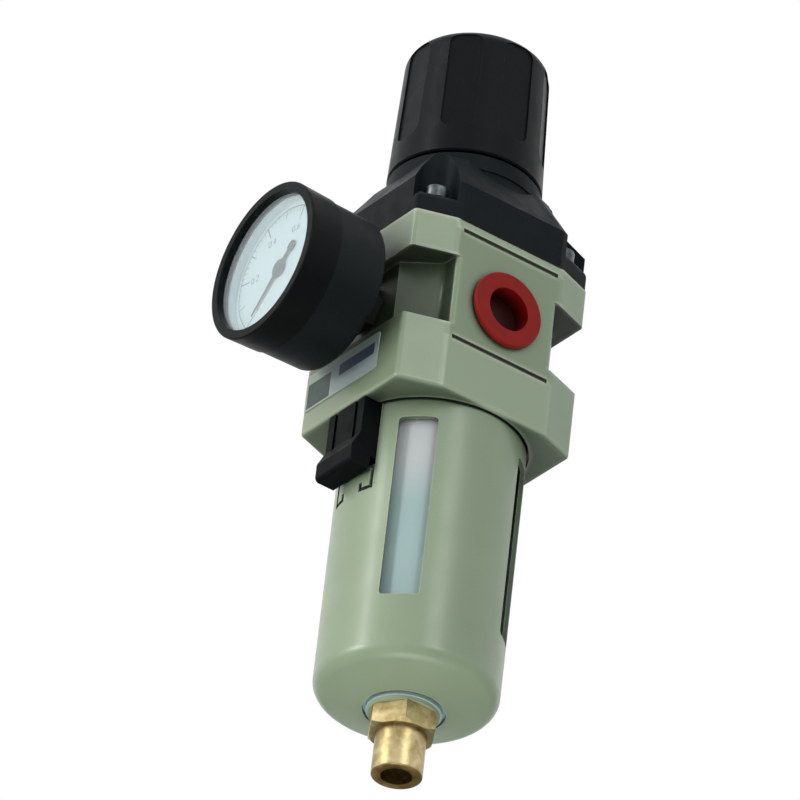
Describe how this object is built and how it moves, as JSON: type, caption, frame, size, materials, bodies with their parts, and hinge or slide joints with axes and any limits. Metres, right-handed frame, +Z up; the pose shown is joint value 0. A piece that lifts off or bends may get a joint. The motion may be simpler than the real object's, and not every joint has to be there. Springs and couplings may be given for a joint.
{
  "type": "air filter regulator",
  "caption": "Air pressure regulator with setting knob, octagonal ported body, round pressure gauge and a guarded filter bowl with a drain fitting.",
  "frame": {"origin": "centre of the drain outlet's mouth, on the main axis", "axes": "+Z up the main axis towards the knob; the gauge faces -Y; the inlet faces -X and the outlet +X"},
  "size_m": [0.057, 0.0911, 0.227],
  "materials": {
    "body_paint": "light grey-green enamel on die-cast aluminium, satin",
    "guard_paint": "light grey-green enamel on drawn steel, satin",
    "black_plastic": "black moulded plastic, satin",
    "red_plastic": "red soft plastic",
    "white_plastic": "white acetal, satin",
    "filter_white": "white sintered or foamed plastic, matt",
    "clear_plastic": "clear polycarbonate",
    "window_glass": "clear moulded window",
    "brass": "turned brass",
    "bronze": "drawn bronze tube",
    "zinc_steel": "zinc-plated steel",
    "spring_steel": "spring wire",
    "rubber": "black nitrile rubber",
    "grey_rubber": "grey gasket",
    "dial_white": "white enamelled dial",
    "black_enamel": "black enamel, satin",
    "label": "printed foil sticker, left bare"
  },
  "bodies": {
    "regulator": {"body": "body_paint", "label_plate": "label", "bonnet": "black_plastic", "bonnet_screws": "zinc_steel", "rear_port_plug": "zinc_steel", "thrust_washer": "white_plastic", "regulating_spring": "spring_steel", "diaphragm": "rubber", "valve_guide": "white_plastic", "valve_guide_seal": "rubber", "valve_spring": "spring_steel", "deflector": "white_plastic", "filter_element": "filter_white", "baffle": "white_plastic", "gauge_case": "black_plastic", "gauge_bezel": "black_plastic", "gauge_window": "window_glass", "window_seal": "white_plastic", "gauge_dial": "dial_white", "gauge_socket": "black_enamel", "bourdon_tube": "bronze", "movement_frame": "brass", "movement_screws": "zinc_steel", "tube_link": "zinc_steel"},
    "setting_screw": {"adjusting_screw": "zinc_steel"},
    "knob": {"knob": "black_plastic"},
    "spring_seat": {"spring_seat": "brass"},
    "sensing_plates": {"diaphragm_plate": "zinc_steel", "relief_seat": "brass"},
    "valve": {"valve": "brass", "valve_pad": "rubber"},
    "bowl_assembly": {"bowl_guard": "guard_paint", "bowl": "clear_plastic", "bowl_seal": "rubber", "lock_spring": "spring_steel", "drain_fitting": "brass", "drain_washer": "grey_rubber", "drain_housing": "white_plastic", "drain_seal": "rubber"},
    "lock": {"lock_button": "black_plastic"},
    "float": {"float": "filter_white"},
    "drain_valve": {"drain_valve": "brass"},
    "pointer": {"gauge_needle": "black_enamel", "pinion_arbor": "zinc_steel"},
    "sector": {"sector_gear": "brass"},
    "outlet_plug": {"outlet_plug": "red_plastic"},
    "inlet_plug": {"inlet_plug": "red_plastic"}
  },
  "joints": [
    {"name": "knob_turn", "type": "hinge", "parent": "regulator", "child": "setting_screw", "pos_m": [0, 0, 0.212], "axis": [0, 0, -1], "range_deg": [0, 1710]},
    {"name": "knob_lift", "type": "slide", "parent": "setting_screw", "child": "knob", "axis": [0, 0, 1], "range_m": [0, 0.003]},
    {"name": "seat_travel", "type": "slide", "parent": "regulator", "child": "spring_seat", "axis": [0, 0, -1], "range_m": [0, 0.0072], "deforming": ["regulating_spring"]},
    {"name": "diaphragm_stroke", "type": "slide", "parent": "regulator", "child": "sensing_plates", "axis": [0, 0, -1], "range_m": [0, 0.0012], "stiffness_N_per_m": 2000, "springref_m": -0.0015, "deforming": ["diaphragm"]},
    {"name": "valve_stroke", "type": "slide", "parent": "regulator", "child": "valve", "axis": [0, 0, -1], "range_m": [0, 0.0012], "deforming": ["valve_spring"]},
    {"name": "bowl_turn", "type": "hinge", "parent": "regulator", "child": "bowl_assembly", "pos_m": [0, 0, 0.103], "axis": [0, 0, 1], "range_deg": [0, 45]},
    {"name": "lock_press", "type": "slide", "parent": "bowl_assembly", "child": "lock", "axis": [0, 0, -1], "range_m": [0, 0.0025], "stiffness_N_per_m": 800, "springref_m": -0.002, "deforming": ["lock_spring"]},
    {"name": "float_lift", "type": "slide", "parent": "bowl_assembly", "child": "float", "axis": [0, 0, 1], "range_m": [0, 0.005]},
    {"name": "drain_valve_lift", "type": "slide", "parent": "bowl_assembly", "child": "drain_valve", "axis": [0, 0, 1], "range_m": [0, 0.002]},
    {"name": "sector_swing", "type": "hinge", "parent": "regulator", "child": "sector", "pos_m": [0, -0.048, 0.1256], "axis": [0, -1, 0], "range_deg": [0, 45], "stiffness_Nm_per_rad": 0.004, "springref_deg": -17.19},
    {"name": "needle_turn", "type": "hinge", "parent": "regulator", "child": "pointer", "pos_m": [0, -0.0562, 0.134], "axis": [0, 1, 0], "range_deg": [0, 270]},
    {"name": "outlet_plug_pull", "type": "slide", "parent": "regulator", "child": "outlet_plug", "axis": [1, 0, 0], "range_m": [0, 0.03]},
    {"name": "inlet_plug_pull", "type": "slide", "parent": "regulator", "child": "inlet_plug", "axis": [-1, 0, 0], "range_m": [0, 0.03]}
  ],
  "couplings": [
    {"joint": "seat_travel", "follows": "knob_turn", "m_per_rad": 0.00023873},
    {"joint": "valve_stroke", "follows": "diaphragm_stroke", "ratio": 1},
    {"joint": "drain_valve_lift", "follows": "float_lift", "ratio": 0.4},
    {"joint": "needle_turn", "follows": "sector_swing", "ratio": 6}
  ]
}
